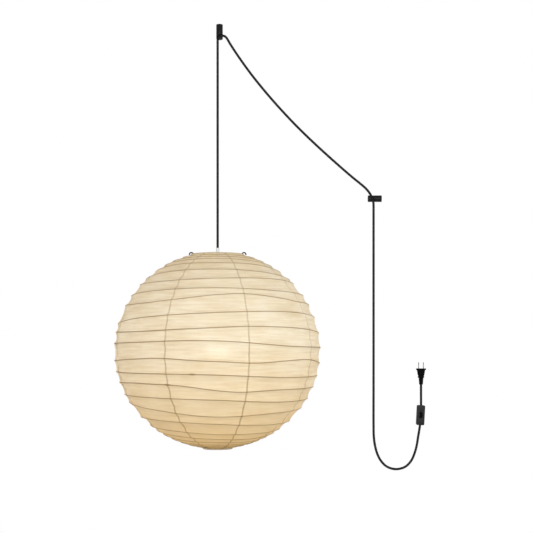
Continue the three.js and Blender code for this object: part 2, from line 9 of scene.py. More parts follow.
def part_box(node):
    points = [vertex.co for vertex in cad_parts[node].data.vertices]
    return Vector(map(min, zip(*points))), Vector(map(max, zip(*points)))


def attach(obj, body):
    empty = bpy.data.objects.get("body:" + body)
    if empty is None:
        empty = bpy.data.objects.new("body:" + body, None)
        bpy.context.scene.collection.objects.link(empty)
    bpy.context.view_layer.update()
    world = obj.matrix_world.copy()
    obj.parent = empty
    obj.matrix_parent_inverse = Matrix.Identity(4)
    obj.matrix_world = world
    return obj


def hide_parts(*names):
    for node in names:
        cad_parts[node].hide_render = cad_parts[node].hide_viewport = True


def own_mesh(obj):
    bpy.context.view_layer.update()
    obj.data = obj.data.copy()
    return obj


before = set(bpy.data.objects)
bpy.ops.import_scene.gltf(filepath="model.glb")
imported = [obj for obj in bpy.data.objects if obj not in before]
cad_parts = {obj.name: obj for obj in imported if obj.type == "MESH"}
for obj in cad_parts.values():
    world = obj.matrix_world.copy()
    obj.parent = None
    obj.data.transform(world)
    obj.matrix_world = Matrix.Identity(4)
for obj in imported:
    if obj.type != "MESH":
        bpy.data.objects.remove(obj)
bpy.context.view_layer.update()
MM = 0.001


# ---- Places, from the CAD frame ----
def middle(node):
    low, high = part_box(node)
    return (Vector(low) + Vector(high)) / 2


LANTERN_X = middle("shade_top_ring").x
GLOBE_R = 275 * MM
GLOBE_UP = 265 * MM
GLOBE_DOWN = 260 * MM
TOP_RING = {"r": 70 * MM, "z": 256.4 * MM}
BOTTOM_RING = {"r": 38 * MM, "z": -259.3 * MM}
GLOBE_Z = middle("shade_top_ring").z - TOP_RING["z"]
CENTRE = Vector((LANTERN_X, 0, GLOBE_Z))
CORD_R = 3.2 * MM
CORD_SIDES = 20
CORD_STEP = 4 * MM
SIDE_PIVOT_Z = -0.049
FRONT_PIVOT_Z = -0.058
SADDLE = (0.0079, -0.042)  # middle of the cord's bend over the ceiling hook, as (x, z)
SADDLE_R = 0.0129
SWITCH = {"x": 0.5365, "z": -1.042, "lean": math.radians(3)}
SWITCH_END = 0.021  # from the switch's middle to where the cord enters it
SWITCH_STRAIGHT = 0.0265  # and to where the cord is straight
PLUG = {"x": 0.5379, "z": -0.9174}
WIRE_RING_R = 1.25 * MM
WIRE_ARM_R = 1.7 * MM

# ---- Routes of the cord over the saddle, through the wall hook and round to the switch, as (x, z) ----
SWAG_ROUTE = [
    (0.030, -0.0537), (0.0487, -0.0822), (0.0749, -0.1191), (0.0995, -0.1511), (0.1339, -0.1925),
    (0.1627, -0.225), (0.2055, -0.2703), (0.2482, -0.3119), (0.2909, -0.3512), (0.3336, -0.389),
    (0.355, -0.4073), (0.3763, -0.4246), (0.3897, -0.4362), (0.399, -0.447), (0.4056, -0.458),
    (0.4096, -0.468), (0.411, -0.477), (0.4112, -0.486), (0.4112, -0.494),
]
TAIL_ROUTE = [
    (0.4112, -0.640), (0.4112, -0.800), (0.4112, -0.960), (0.4112, -1.068), (0.4119, -1.100),
    (0.4159, -1.1273), (0.4228, -1.1494), (0.4332, -1.1671), (0.4484, -1.1804), (0.4714, -1.1863),
    (0.4952, -1.1802), (0.5112, -1.1644), (0.5206, -1.144), (0.5264, -1.123), (0.530, -1.1008),
    (0.5332, -1.082),
]

# Height of the bamboo spiral above the globe's middle in mm, one row per turn from the top:
# at the left, front left, front, front right and right.
RIB_TURNS = [
    (248, 250, 251, 250, 247),
    (238, 243, 245, 243, 237),
    (227, 235, 237.5, 235, 225),
    (211, 223, 225, 223, 209),
    (190, 203, 207, 202, 188),
    (175, 177, 182, 185, 179),
    (146, 152.5, 157, 153, 147),
    (121, 122, 139, 135, 122),
    (71, 84, 94, 99, 89),
    (51, 49, 56.5, 59, 47),
    (20, 22, 25, 12, 9),
    (-26, -21, -25, -25, -33),
    (-54, -56, -58.5, -66.5, -65),
    (-84, -81.5, -96, -97, -95),
    (-114, -117, -121, -129, -126),
    (-134, -148, -164, -157.5, -151),
    (-173, -177, -183.5, -189, -186),
    (-197, -203.5, -211.5, -212, -207),
    (-209, -219, -225.5, -227, -218),
    (-220, -232, -236, -236, -228),
    (-232, -241, -244, -243, -238),
    (-242, -247, -249, -248, -244),
    (-249, -252, -253, -252.5, -251),
    (-254, -255, -255.5, -255.5, -255),
]
HEIGHTS_PER_TURN = 8
# Smaller waves in the bamboo, between those heights: turn, degrees from the front, rise in mm.
WAVES = [
    (7, -15, -2.5), (7, 20, 3), (7, 60, -4), (9, 18, 2), (11, -28, 4), (11, 22, -5), (11, 60, 5.5),
    (13, -18, 4.5), (13, 16, -4),
]
WAVE_WIDTH = 15  # degrees
GORES = 8
FIRST_SEAM = -26  # degrees from the front, towards +X
STEPS_PER_TURN = 24  # of the splices' places
STRIP_POINTS_PER_TURN = 288
SPLICES = [(0, -3), (12, 1), (13, 0), (20, 2), (23, 4)]  # turn, and steps past the first seam


# ---- Camera ----
camera_data = bpy.data.cameras.new("camera")
camera_data.sensor_width = 36
camera_data.lens = 75.9
camera_data.shift_y = 0.1586
camera = bpy.data.objects.new("camera", camera_data)
camera.location = (0.1254, -3.0, -0.871)
camera.rotation_euler = (math.radians(90), 0, 0)
bpy.context.collection.objects.link(camera)
bpy.context.scene.camera = camera


# ---- Shaders ----
class Shader:
    """A material built node by node. An input is a number, a colour or another node's output."""

    def __init__(self, name):
        self.material = bpy.data.materials.new(name)
        self.material.use_nodes = True
        self.tree = self.material.node_tree
        self.tree.nodes.clear()
        self.output = self.tree.nodes.new("ShaderNodeOutputMaterial")

    def add(self, kind, inputs=None, **settings):
        node = self.tree.nodes.new("ShaderNode" + kind)
        for key, value in settings.items():
            setattr(node, key, value)
        for key, value in (inputs or {}).items():
            socket = node.inputs[key]
            if isinstance(value, bpy.types.NodeSocket):
                self.tree.links.new(value, socket)
            else:
                socket.default_value = value
        return node

    def math(self, operation, a, b=0.0):
        return self.add("Math", {0: a, 1: b}, operation=operation).outputs[0]

    def mix(self, share, a, b):
        node = self.add("Mix", {0: share, 6: a, 7: b}, data_type="RGBA")
        return node.outputs[2]

    def span(self, value, low, high, to_low=0.0, to_high=1.0):
        inputs = {0: value, 1: low, 2: high, 3: to_low, 4: to_high}
        return self.add("MapRange", inputs).outputs[0]

    def coordinates(self, source="Object", scale=(1, 1, 1)):
        place = self.add("TexCoord").outputs[source]
        return self.add("Mapping", {"Vector": place, "Scale": scale}).outputs[0]

    def noise(self, vector, scale, detail=4.0, roughness=0.55):
        inputs = {"Vector": vector, "Scale": scale, "Detail": detail, "Roughness": roughness}
        return self.add("TexNoise", inputs).outputs[0]

    def bump(self, height, distance, strength=1.0):
        inputs = {"Height": height, "Distance": distance, "Strength": strength}
        return self.add("Bump", inputs).outputs[0]

    def finish(self, surface):
        self.tree.links.new(surface, self.output.inputs["Surface"])
        return self.material


def rgb(red, green, blue):
    return (red, green, blue, 1.0)


def paper_material(name, light, shade, through, glow_share):
    """Washi: long horizontal fibres and clouded pulp; brown lines where it lies on bamboo or a seam, partly
    paste and partly painted shadow; and painted shade towards the top and the bottom.
    """
    s = Shader(name)
    clouds = s.noise(s.coordinates("UV", (9, 14, 1)), 1.0, 5.0)
    streaks = s.noise(s.coordinates("UV", (10, 150, 1)), 1.0, 6.0, 0.65)
    fibres = s.noise(s.coordinates("UV", (160, 900, 1)), 1.0, 3.0, 0.7)
    pulp = s.math("ADD", s.math("MULTIPLY", clouds, 0.4), s.math("MULTIPLY", streaks, 0.6))
    colour = s.mix(s.span(pulp, 0.41, 0.61), light, shade)
    up = s.add("SeparateXYZ", {0: s.add("TexCoord").outputs["UV"]}).outputs[1]
    # painted shade: the colour turns darker and browner towards the bottom of the globe, and a little towards
    # the top, by latitude
    painted_polar_shade = s.math("ADD", s.span(up, 0.03, -0.36, 0.0, 0.92), s.span(up, 0.20, 0.40, 0.0, 0.35))
    polar_shade_tan = rgb(0.67, 0.48, 0.22)
    colour = s.mix(painted_polar_shade, colour, polar_shade_tan)
    rib = s.add("Attribute", attribute_name="rib").outputs["Fac"]
    seam = s.add("Attribute", attribute_name="seam").outputs["Fac"]
    # Along each rib and seam the paper is painted brown: partly the paste that holds it, partly painted
    # shadow where the bamboo and the doubled paper block the lamp inside. The seam's line is darker below the
    # middle.
    rib_glue_and_shadow = s.span(rib, 0.6 * MM, 1.5 * MM, 0.85, 0.0)
    seam_glue_and_shadow = s.span(seam, 1.2 * MM, 2.2 * MM, s.span(up, -0.1, 0.1, 0.95, 0.62), 0.0)
    glue_and_shadow_brown = rgb(0.36, 0.23, 0.085)
    colour = s.mix(rib_glue_and_shadow, colour, glue_and_shadow_brown)
    colour = s.mix(seam_glue_and_shadow, colour, glue_and_shadow_brown)
    height = s.math("ADD", streaks, s.math("MULTIPLY", fibres, 0.5))
    normal = s.bump(height, 0.5 * MM, 0.6)
    inputs = {"Base Color": colour, "Roughness": 0.88, "Normal": normal, "Specular IOR Level": 0.15}
    front = s.add("BsdfPrincipled", inputs).outputs[0]
    lit = s.mix(s.span(pulp, 0.38, 0.64, 0.0, 0.35), through, shade)
    # the same painted shade on the colour the lamp shines through
    lit = s.mix(painted_polar_shade, lit, polar_shade_tan)
    # the same paste and painted shadow lines on the colour the lamp shines through
    lit = s.mix(rib_glue_and_shadow, lit, glue_and_shadow_brown)
    lit = s.mix(seam_glue_and_shadow, lit, glue_and_shadow_brown)
    back = s.add("BsdfTranslucent", {"Color": lit, "Normal": normal}).outputs[0]
    both = s.add("MixShader", {0: 0.45, 1: front, 2: back}).outputs[0]
    clear = s.add("BsdfRefraction", {"Color": rgb(1, 1, 1), "Roughness": 0.55, "IOR": 1.12}).outputs[0]
    return s.finish(s.add("MixShader", {0: glow_share, 1: both, 2: clear}).outputs[0])


def hem_material(name, colour, worn):
    """The strip of washi pasted round each ring."""
    s = Shader(name)
    pulp = s.noise(s.coordinates("Object", (40, 40, 160)), 1.0, 5.0, 0.65)
    inputs = {
        "Base Color": s.mix(s.span(pulp, 0.35, 0.65), colour, worn), "Roughness": 0.88,
        "Normal": s.bump(pulp, 0.2 * MM, 0.5), "Specular IOR Level": 0.15,
    }
    return s.finish(s.add("BsdfPrincipled", inputs).outputs[0])


def bamboo_material(name):
    s = Shader(name)
    grain = s.noise(s.coordinates("UV", (6, 3, 1)), 3.0, 6.0, 0.7)
    colour = s.mix(s.span(grain, 0.35, 0.7), rgb(0.50, 0.35, 0.17), rgb(0.33, 0.21, 0.09))
    inputs = {
        "Base Color": colour, "Roughness": s.span(grain, 0.3, 0.7, 0.5, 0.75),
        "Normal": s.bump(grain, 0.1 * MM, 0.6),
    }
    return s.finish(s.add("BsdfPrincipled", inputs).outputs[0])


def braid_material(name):
    """Textile braid: strands crossing left and right round the cord."""
    s = Shader(name)
    uv = s.add("SeparateXYZ", {0: s.add("TexCoord").outputs["UV"]})
    around = s.math("MULTIPLY", uv.outputs[0], 8.0)
    along = s.math("MULTIPLY", uv.outputs[1], 6.0)
    tau = 2 * math.pi

    def strands(phase):
        return s.span(s.math("SINE", s.math("MULTIPLY", phase, tau)), -1.0, 1.0)

    left = strands(s.math("ADD", around, along))
    right = strands(s.math("SUBTRACT", around, along))
    weave = s.math("MAXIMUM", left, s.math("MULTIPLY", right, 0.92))
    fuzz = s.noise(s.coordinates("Object"), 900.0, 3.0, 0.7)
    height = s.math("ADD", weave, s.math("MULTIPLY", fuzz, 0.4))
    # painted shade: the braid is coloured darker in the grooves between strands and paler on their raised
    # tops
    colour = s.mix(s.span(height, 0.5, 1.3), rgb(0.012, 0.012, 0.012), rgb(0.026, 0.026, 0.027))
    inputs = {
        "Base Color": colour, "Roughness": 1.0, "Normal": s.bump(height, 0.15 * MM, 0.3),
        "Sheen Weight": 0.01, "Sheen Roughness": 0.5, "IOR": 1.1,
    }
    return s.finish(s.add("BsdfPrincipled", inputs).outputs[0])


def grained_material(name, colour, worn, roughness, grain, depth, **fixed):
    """Plastic or paint: a fine grain in relief, and slightly uneven colour and gloss."""
    s = Shader(name)
    place = s.coordinates("Object")
    fine = s.noise(place, grain, 2.0, 0.6)
    broad = s.noise(place, 60.0, 4.0, 0.6)
    inputs = {
        "Base Color": s.mix(s.span(broad, 0.35, 0.7), colour, worn),
        "Roughness": s.span(broad, 0.3, 0.7, roughness - 0.06, roughness + 0.08),
        "Normal": s.bump(fine, depth, 0.5),
    }
    inputs.update(fixed)
    return s.finish(s.add("BsdfPrincipled", inputs).outputs[0])


def metal_material(name, colour, tarnish, roughness, drawn=(1, 1, 1)):
    """Bare metal with drawing or turning marks along one direction."""
    s = Shader(name)
    marks = s.noise(s.coordinates("Object", drawn), 500.0, 4.0, 0.65)
    blotches = s.noise(s.coordinates("Object"), 45.0, 4.0, 0.6)
    inputs = {
        "Base Color": s.mix(s.span(blotches, 0.45, 0.75), colour, tarnish),
        "Metallic": 1.0,
        "Roughness": s.span(marks, 0.3, 0.7, roughness - 0.07, roughness + 0.12),
        "Normal": s.bump(marks, 0.05 * MM, 0.3),
    }
    return s.finish(s.add("BsdfPrincipled", inputs).outputs[0])


def lit_material(name, colour, strength):
    """The bulb's opal dome, evenly lit and a little dimmer in its moulding swirls."""
    s = Shader(name)
    swirl = s.noise(s.coordinates("Object"), 30.0, 3.0)
    inputs = {
        "Base Color": rgb(0.9, 0.9, 0.88), "Roughness": 0.35,
        "Emission Color": s.mix(s.span(swirl, 0.3, 0.7), colour, rgb(1.0, 0.93, 0.84)),
        "Emission Strength": strength,
    }
    return s.finish(s.add("BsdfPrincipled", inputs).outputs[0])


FINISH = {
    "paper": paper_material(
        "washi", rgb(0.83, 0.76, 0.625), rgb(0.68, 0.57, 0.39), rgb(0.90, 0.865, 0.755), 0.005),
    "hem": hem_material("washi_hem", rgb(0.56, 0.46, 0.32), rgb(0.44, 0.36, 0.25)),
    "bamboo": bamboo_material("split_bamboo"),
    "cord": braid_material("braided_textile"),
    "black_metal": grained_material(
        "satin_black_paint", rgb(0.005, 0.005, 0.0055), rgb(0.009, 0.009, 0.009), 0.45, 1400.0, 0.05 * MM,
        **{"Specular IOR Level": 0.12}),
    "moulded_black": grained_material(
        "moulded_black", rgb(0.007, 0.007, 0.0075), rgb(0.011, 0.011, 0.0115), 0.5, 1100.0, 0.08 * MM,
        **{"Specular IOR Level": 0.2}),
    "rocker_black": grained_material(
        "rocker_black", rgb(0.004, 0.004, 0.004), rgb(0.006, 0.006, 0.006), 0.35, 1600.0, 0.03 * MM,
        **{"Specular IOR Level": 0.0}),
    "nylon": grained_material(
        "nylon", rgb(0.66, 0.68, 0.68), rgb(0.58, 0.60, 0.59), 0.38, 700.0, 0.04 * MM,
        **{"Subsurface Weight": 0.4, "Subsurface Scale": 0.003}),
    "white_insulator": grained_material(
        "white_insulator", rgb(0.80, 0.79, 0.76), rgb(0.70, 0.69, 0.65), 0.45, 900.0, 0.04 * MM),
    "bulb_white": grained_material(
        "bulb_white", rgb(0.85, 0.85, 0.82), rgb(0.78, 0.78, 0.74), 0.4, 900.0, 0.04 * MM),
    "circuit_white": grained_material(
        "circuit_white", rgb(0.82, 0.83, 0.82), rgb(0.75, 0.76, 0.74), 0.5, 600.0, 0.03 * MM),
    "diffuser": lit_material("lit_dome", rgb(1.0, 0.98, 0.95), 38.0),
    "steel": metal_material("steel", rgb(0.42, 0.42, 0.41), rgb(0.30, 0.30, 0.29), 0.32),
    "frame_wire": metal_material(
        "drawn_wire", rgb(0.022, 0.022, 0.023), rgb(0.012, 0.012, 0.013), 0.45, (1, 1, 0.1)),
    "nickel": metal_material("nickel", rgb(0.12, 0.118, 0.112), rgb(0.08, 0.078, 0.074), 0.35, (1, 0.1, 1)),
    "brass": metal_material("brass", rgb(0.72, 0.52, 0.20), rgb(0.45, 0.30, 0.12), 0.32),
}
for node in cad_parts.values():
    for material_slot in node.material_slots:
        slot_name = material_slot.material.name.split(".")[0]
        if slot_name in FINISH:
            material_slot.material = FINISH[slot_name]


# ---- Meshes ----
def make_piece(name, vertices, faces, slot, body, replaced=(), uvs=None, sharp=40, attributes=None):
    """A mesh object on a CAD body. uvs gives each vertex its place on the flat."""
    mesh = bpy.data.meshes.new(name)
    mesh.from_pydata([tuple(v) for v in vertices], [], faces)
    if uvs:
        layer = mesh.uv_layers.new(name="UVMap")
        for loop in mesh.loops:
            layer.data[loop.index].uv = uvs[loop.vertex_index]
    for key, values in (attributes or {}).items():
        mesh.attributes.new(key, "FLOAT", "POINT").data.foreach_set("value", values)
    return place(name, mesh, slot, body, replaced, sharp)


def place(name, mesh, slot, body, replaced=(), sharp=40):
    mesh.materials.clear()
    mesh.materials.append(FINISH[slot])
    mesh.polygons.foreach_set("use_smooth", [True] * len(mesh.polygons))
    mesh.set_sharp_from_angle(angle=math.radians(sharp))
    mesh.update()
    piece = bpy.data.objects.new(name, mesh)
    bpy.context.collection.objects.link(piece)
    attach(piece, body)
    if replaced:
        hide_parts(*replaced)
    return piece


def smooth_route(points, step):
    """A centripetal Catmull-Rom curve through the points, with a point about every step."""
    points = [Vector(p) for p in points]
    first, last = 2 * points[0] - points[1], 2 * points[-1] - points[-2]
    line = [points[0]]
    around = [first, *points, last]
    for i in range(len(points) - 1):
        p0, p1, p2, p3 = around[i:i + 4]
        d0, d1, d2 = ((b - a).length ** 0.5 for a, b in ((p0, p1), (p1, p2), (p2, p3)))
        m1 = ((p1 - p0) / d0 - (p2 - p0) / (d0 + d1) + (p2 - p1) / d1) * d1
        m2 = ((p2 - p1) / d1 - (p3 - p1) / (d1 + d2) + (p3 - p2) / d2) * d1
        count = max(1, round((p2 - p1).length / step))
        for j in range(1, count + 1):
            t = j / count
            line.append(
                p1 * (2 * t**3 - 3 * t**2 + 1) + m1 * (t**3 - 2 * t**2 + t)
                + p2 * (3 * t**2 - 2 * t**3) + m2 * (t**3 - t**2)
            )
    return line


def tube(name, line, radius, slot, body, replaced=(), sides=16, closed=False, sideways=None, sharp=40):
    """A round tube along a line, with domed ends. radius is a number, or one for each point."""
    line = [Vector(p) for p in line]
    count = len(line)
    radii = [radius] * count if isinstance(radius, float) else list(radius)
    if not closed:
        start, end = (line[0] - line[1]).normalized(), (line[-1] - line[-2]).normalized()
        dome = [(math.sin(a), math.cos(a)) for a in (math.radians(d) for d in (75, 45, 12))]
        head = [(line[0] + start * radii[0] * out, radii[0] * wide) for out, wide in dome]
        foot = [(line[-1] + end * radii[-1] * out, radii[-1] * wide) for out, wide in reversed(dome)]
        line = [p for p, _ in head] + line + [p for p, _ in foot]
        radii = [r for _, r in head] + radii + [r for _, r in foot]
        count = len(line)
    side = Vector(sideways or (0, 1, 0))
    vertices, uvs, travelled = [], [], 0.0
    for i in range(count):
        before, after = (i - 1) % count, (i + 1) % count
        if not closed:
            before, after = max(i - 1, 0), min(i + 1, count - 1)
        forward = (line[after] - line[before]).normalized()
        side = (side - forward * side.dot(forward)).normalized()
        other = forward.cross(side)
        if i:
            travelled += (line[i] - line[i - 1]).length
        for j in range(sides + 1):
            angle = 2 * math.pi * j / sides
            vertices.append(line[i] + (side * math.cos(angle) + other * math.sin(angle)) * radii[i])
            uvs.append((j / sides, travelled / (2 * math.pi * max(radii))))
    across = sides + 1
    faces = []
    for i in range(count if closed else count - 1):
        low, high = i * across, ((i + 1) % count) * across
        faces += [(low + j, low + j + 1, high + j + 1, high + j) for j in range(sides)]
    if not closed:
        faces.append(tuple(range(sides - 1, -1, -1)))
        top = (count - 1) * across
        faces.append(tuple(range(top, top + sides)))
    piece = make_piece(name, vertices, faces, slot, body, replaced, uvs, sharp)
    weld(piece)
    return piece


def weld(piece, distance=1e-6):
    """Joins vertices that lie on each other, and turns all faces outwards."""
    shape = bmesh.new()
    shape.from_mesh(piece.data)
    bmesh.ops.remove_doubles(shape, verts=shape.verts, dist=distance)
    bmesh.ops.recalc_face_normals(shape, faces=shape.faces)
    shape.to_mesh(piece.data)
    shape.free()


def lathe(name, profile, centre, slot, body, replaced=(), segments=64, flat=1.0, closed=False, sharp=35):
    """A turned piece about Z. The profile is (radius, z) pairs in mm; flat scales it front to back."""
    profile = [(r * MM, z * MM) for r, z in profile]
    vertices, faces, uvs = [], [], []
    for j in range(segments):
        angle = 2 * math.pi * j / segments
        for k, (r, z) in enumerate(profile):
            spot = Vector((r * math.cos(angle), r * math.sin(angle) * flat, z))
            vertices.append(Vector(centre) + spot)
            uvs.append((j / segments, k / len(profile)))
    rows = len(profile)
    spans = rows if closed else rows - 1
    for j in range(segments):
        left, right = j * rows, ((j + 1) % segments) * rows
        for k in range(spans):
            following = (k + 1) % rows
            faces.append((left + k, right + k, right + following, left + following))
    piece = make_piece(name, vertices, faces, slot, body, replaced, uvs, sharp)
    weld(piece)
    return piece


def eased(node, name, slot, body, bevel, segments=2, sharp=50):
    """The CAD part with its edges rounded over."""
    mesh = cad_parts[node].data.copy()
    shape = bmesh.new()
    shape.from_mesh(mesh)
    bmesh.ops.remove_doubles(shape, verts=shape.verts, dist=1e-5)
    bmesh.ops.dissolve_limit(shape, angle_limit=math.radians(1), verts=shape.verts, edges=shape.edges)
    shape.to_mesh(mesh)
    shape.free()
    rough = bpy.data.objects.new("rough", mesh)
    bpy.context.collection.objects.link(rough)
    modifier = rough.modifiers.new("edges", "BEVEL")
    modifier.width = bevel
    modifier.segments = segments
    modifier.limit_method = "ANGLE"
    modifier.angle_limit = math.radians(sharp)
    modifier.use_clamp_overlap = True
    seen = rough.evaluated_get(bpy.context.evaluated_depsgraph_get())
    final = bpy.data.meshes.new_from_object(seen)
    bpy.data.objects.remove(rough)
    return place(name, final, slot, body, [node], 30)


# ---- Cords ----
def xz(points):
    return [Vector((x, 0, z)) for x, z in points]


def switch_end(distance):
    lean = SWITCH["lean"]
    return (SWITCH["x"] + distance * math.sin(lean), SWITCH["z"] + distance * math.cos(lean))


saddle_arc = [
    (SADDLE[0] + SADDLE_R * math.cos(a), SADDLE[1] + SADDLE_R * math.sin(a))
    for a in (math.radians(d) for d in (180, 158, 136, 114, 92, 70, 50, 32.5))
]
main_line = smooth_route(
    xz([
        (LANTERN_X, SIDE_PIVOT_Z), *saddle_arc, *SWAG_ROUTE, *TAIL_ROUTE,
        switch_end(-SWITCH_STRAIGHT), switch_end(-SWITCH_END),
    ]),
    CORD_STEP,
)
main_cord = tube(
    "cord_long", main_line, CORD_R, "cord", "fixings", ["cord_swag", "cord_tail"], sides=CORD_SIDES,
)
lead_line = smooth_route(
    xz([
        switch_end(SWITCH_END), switch_end(SWITCH_STRAIGHT), (PLUG["x"] + 0.0001, -1.0), (PLUG["x"], -0.98),
        (PLUG["x"], PLUG["z"] - 0.028),
    ]),
    CORD_STEP,
)
lead_cord = tube("cord_plug_lead", lead_line, CORD_R, "cord", "fixings", ["cord_lead"], sides=CORD_SIDES)


def plumb(top, bottom, step=0.01):
    count = max(2, round((top - bottom) / step))
    return [Vector((LANTERN_X, 0, top + (bottom - top) * i / count)) for i in range(count + 1)]


GRIP_TOP_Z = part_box("cord_grip")[1][2]
neck_line = plumb(SIDE_PIVOT_Z, FRONT_PIVOT_Z, 0.002)
neck = tube("cord_bend", neck_line, CORD_R, "cord", "neck", ["cord_neck"], sides=CORD_SIDES)
drop_line = plumb(FRONT_PIVOT_Z, GRIP_TOP_Z)
drop_cord = tube("cord_to_lantern", drop_line, CORD_R, "cord", "drop", ["cord_drop"], sides=CORD_SIDES)
inner_low, inner_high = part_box("cord_inner")
inner_line = plumb(inner_high[2], inner_low[2])
inner_cord = tube("cord_to_holder", inner_line, CORD_R, "cord", "lamp", ["cord_inner"], sides=CORD_SIDES)

# ---- Paper globe ----
RIB_DEPTH = 1.75 * MM  # of the bamboo's centre below the paper's outer face
BAMBOO_R = 0.85 * MM
OVERLAP = 1.7 * MM  # of neighbouring gores, each side of the seam
LAP_RISE = 0.35 * MM
PAPER_STEP = 3.2 * MM
GORE_COLUMNS = 40
CREASE = 1.3 * MM  # of paper beside each rib, in a row of its own
SPLICE_SPREAD = 1.6 * MM  # of the rib's line of paste and painted shadow, at a splice
SPLICE_LENGTH = 7 * MM
MOST_BOW = 4.3 * MM
BOW_SHARE = 0.115  # of the gap between two ribs
RIB_STEP = 0.55 * MM
TOP_EDGE = math.acos(72.3 * MM / GLOBE_R)
BOTTOM_EDGE = -math.acos(40.2 * MM / GLOBE_R)


def all_heights():
    """The spiral's heights every eighth of a turn, joined evenly across the back."""
    heights = []
    for i, seen in enumerate(RIB_TURNS):
        right = seen[-1]
        next_left = RIB_TURNS[i + 1][0] if i + 1 < len(RIB_TURNS) else right - 1
        heights += [*seen, *(right + (next_left - right) * t for t in (0.25, 0.5, 0.75))]
    return [h * MM for h in heights] + [-256.2 * MM, -256.4 * MM]


HEIGHTS = all_heights()


def spiral_height(turn):
    """Height of the bamboo, a number of turns from the front: Catmull-Rom, and the small waves."""
    at = max(turn * HEIGHTS_PER_TURN + 2, 0)
    i = min(int(at), len(HEIGHTS) - 2)
    t = min(at - i, 1)
    p0, p1, p2, p3 = (HEIGHTS[min(max(i + k, 0), len(HEIGHTS) - 1)] for k in (-1, 0, 1, 2))
    m1, m2 = (p2 - p0) / 2, (p3 - p1) / 2
    waves = sum(
        up * MM * math.exp(-((((turn - wave_turn) * 360 - degrees) / WAVE_WIDTH) ** 2))
        for wave_turn, degrees, up in WAVES
    )
    return waves + (
        p1 * (2 * t**3 - 3 * t**2 + 1) + m1 * (t**3 - 2 * t**2 + t)
        + p2 * (3 * t**2 - 2 * t**3) + m2 * (t**3 - t**2)
    )


def latitude(height):
    return math.asin(height / (GLOBE_UP if height > 0 else GLOBE_DOWN))


def globe_point(azimuth, angle, depth):
    """A point at an azimuth from the front towards +X and a latitude, at a depth under the globe."""
    half = GLOBE_UP if angle > 0 else GLOBE_DOWN
    r, z = GLOBE_R * math.cos(angle), half * math.sin(angle)
    normal = Vector((r / GLOBE_R**2, z / half**2)).normalized()
    r, z = r - depth * normal.x, z - depth * normal.y
    return CENTRE + Vector((r * math.sin(azimuth), -r * math.cos(azimuth), z))


def rise(t):
    t = min(max(t, 0.0), 1.0)
    return t * t * (3 - 2 * t)


def splice_nearness(turn):
    """1 at a splice in the bamboo, falling to 0 within about 12 mm of it."""
    places = [t + steps / STEPS_PER_TURN + FIRST_SEAM / 360 for t, steps in SPLICES[1:-1]]
    gap = min(abs(turn - p) for p in places) * 2 * math.pi * GLOBE_R
    return math.exp(-((gap / SPLICE_LENGTH) ** 2))


def bands_of(azimuths):
    """For one gore: how many rows each band between two turns of bamboo needs."""
    widest = [0.0] * (len(RIB_TURNS) + 1)
    for azimuth in azimuths:
        levels = levels_at(azimuth)
        for k in range(len(widest)):
            widest[k] = max(widest[k], (levels[k] - levels[k + 1]) * GLOBE_R)
    return [max(4, round(w / PAPER_STEP)) for w in widest]


def levels_at(azimuth):
    turns = [k + azimuth / (2 * math.pi) for k in range(len(RIB_TURNS))]
    return [TOP_EDGE, *(latitude(spiral_height(t)) for t in turns), BOTTOM_EDGE]


def paper_depth(azimuth, angle, band, share, width, seam):
    """How far the paper lies under the globe: bowed in between the ribs, with slight wrinkles."""
    from_rib = min(share, 1 - share) * width
    turn = band + azimuth / (2 * math.pi)
    slack = 1 + 0.35 * noise.noise(Vector((turn * 7, band * 3.1, 0.5)))
    bow = min(BOW_SHARE * width, MOST_BOW) * 4 * share * (1 - share) * slack
    across = azimuth * GLOBE_R * math.cos(angle)
    along = angle * GLOBE_R
    spot = Vector((across / 0.045, along / 0.0075, band * 0.7))
    puckers = noise.noise(spot) * math.exp(-seam / 0.030)
    soft = noise.noise(Vector((across / 0.06, along / 0.02, 7.0)))
    free = rise(from_rib / (5 * MM))
    return bow + RIB_STEP * rise(from_rib / (1.7 * MM)) + free * (2.0 * puckers + 0.7 * soft) * MM


def make_gore(number):
    start = math.radians(FIRST_SEAM + 45 * (number if number < GORES - 1 else -1))
    end = start + 2 * math.pi / GORES
    inner = [start + (end - start) * i / GORE_COLUMNS for i in range(1, GORE_COLUMNS)]
    columns = [(start, -OVERLAP, 0.0), (start, OVERLAP, 0.0)]
    columns += [(a, 0.0, 0.0) for a in inner]
    columns += [(end, -OVERLAP, LAP_RISE), (end, OVERLAP, LAP_RISE)]
    rows_in_band = bands_of([start, *inner, end])
    vertices, uvs, ribs, seams = [], [], [], []
    for nominal, shift, lift in columns:
        levels = levels_at(nominal)
        for band, rows in enumerate(rows_in_band):
            high, low = levels[band], levels[band + 1]
            width = (high - low) * GLOBE_R
            near = min(CREASE / max(width, 1e-6), 0.2)
            inside = [near + (1 - 2 * near) * i / (rows - 2) for i in range(rows - 1)]
            shares = [0.0, *inside] + ([1.0] if band == len(rows_in_band) - 1 else [])
            for share in shares:
                angle = high + (low - high) * share
                ring_r = GLOBE_R * math.cos(angle)
                azimuth = nominal + shift / ring_r
                seam = min(abs(azimuth - start), abs(end - azimuth)) * ring_r
                depth = paper_depth(azimuth, angle, band, share, width, seam)
                vertices.append(globe_point(azimuth, angle, depth - lift))
                uvs.append((azimuth * GLOBE_R, angle * GLOBE_R))
                turn = (band if share > 0.5 else band - 1) + nominal / (2 * math.pi)
                edge = (band == 0 and share < 0.5) or (band == len(RIB_TURNS) and share > 0.5)
                from_rib = 0.01 if edge else min(share, 1 - share) * width
                ribs.append(from_rib - SPLICE_SPREAD * splice_nearness(turn))
                seams.append(seam)
    rows = sum(rows_in_band) + 1
    faces = [
        (c * rows + r, c * rows + r + 1, (c + 1) * rows + r + 1, (c + 1) * rows + r)
        for c in range(len(columns) - 1)
        for r in range(rows - 1)
    ]
    return make_piece(
        f"paper_gore_{number + 1}", vertices, faces, "paper", "shade", [f"shade_gore_{number + 1}"], uvs, 180,
        {"rib": ribs, "seam": seams},
    )


gores = [make_gore(i) for i in range(GORES)]


